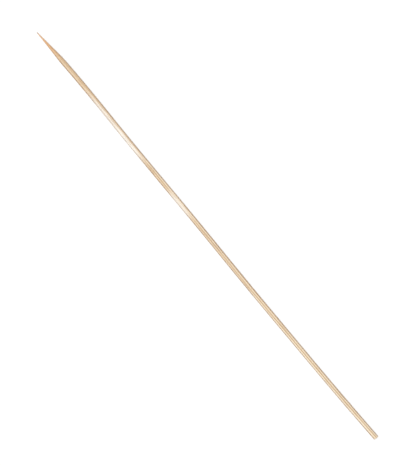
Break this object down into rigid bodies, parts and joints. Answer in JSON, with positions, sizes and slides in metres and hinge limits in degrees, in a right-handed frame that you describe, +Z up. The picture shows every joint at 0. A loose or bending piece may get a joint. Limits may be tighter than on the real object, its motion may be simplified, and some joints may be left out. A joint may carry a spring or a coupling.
{
  "type": "bamboo skewer",
  "caption": "Round bamboo stick, slightly wavy along its length, ground to a long point at one end and sawn square at the other, for threading food.",
  "frame": {"origin": "middle of the underside of the lying stick, on the plane that it rests on, at the centre of its box", "axes": "+X along the stick towards the sawn end, with the point at -X; +Z up from the surface it lies on; the stick's slight waviness is in the XY plane"},
  "size_m": [0.3, 0.0044, 0.003],
  "materials": {
    "bamboo": "bare split bamboo, smooth turned with fine lengthwise fibres, satin"
  },
  "bodies": {
    "root": {"skewer": "bamboo"}
  },
  "joints": []
}
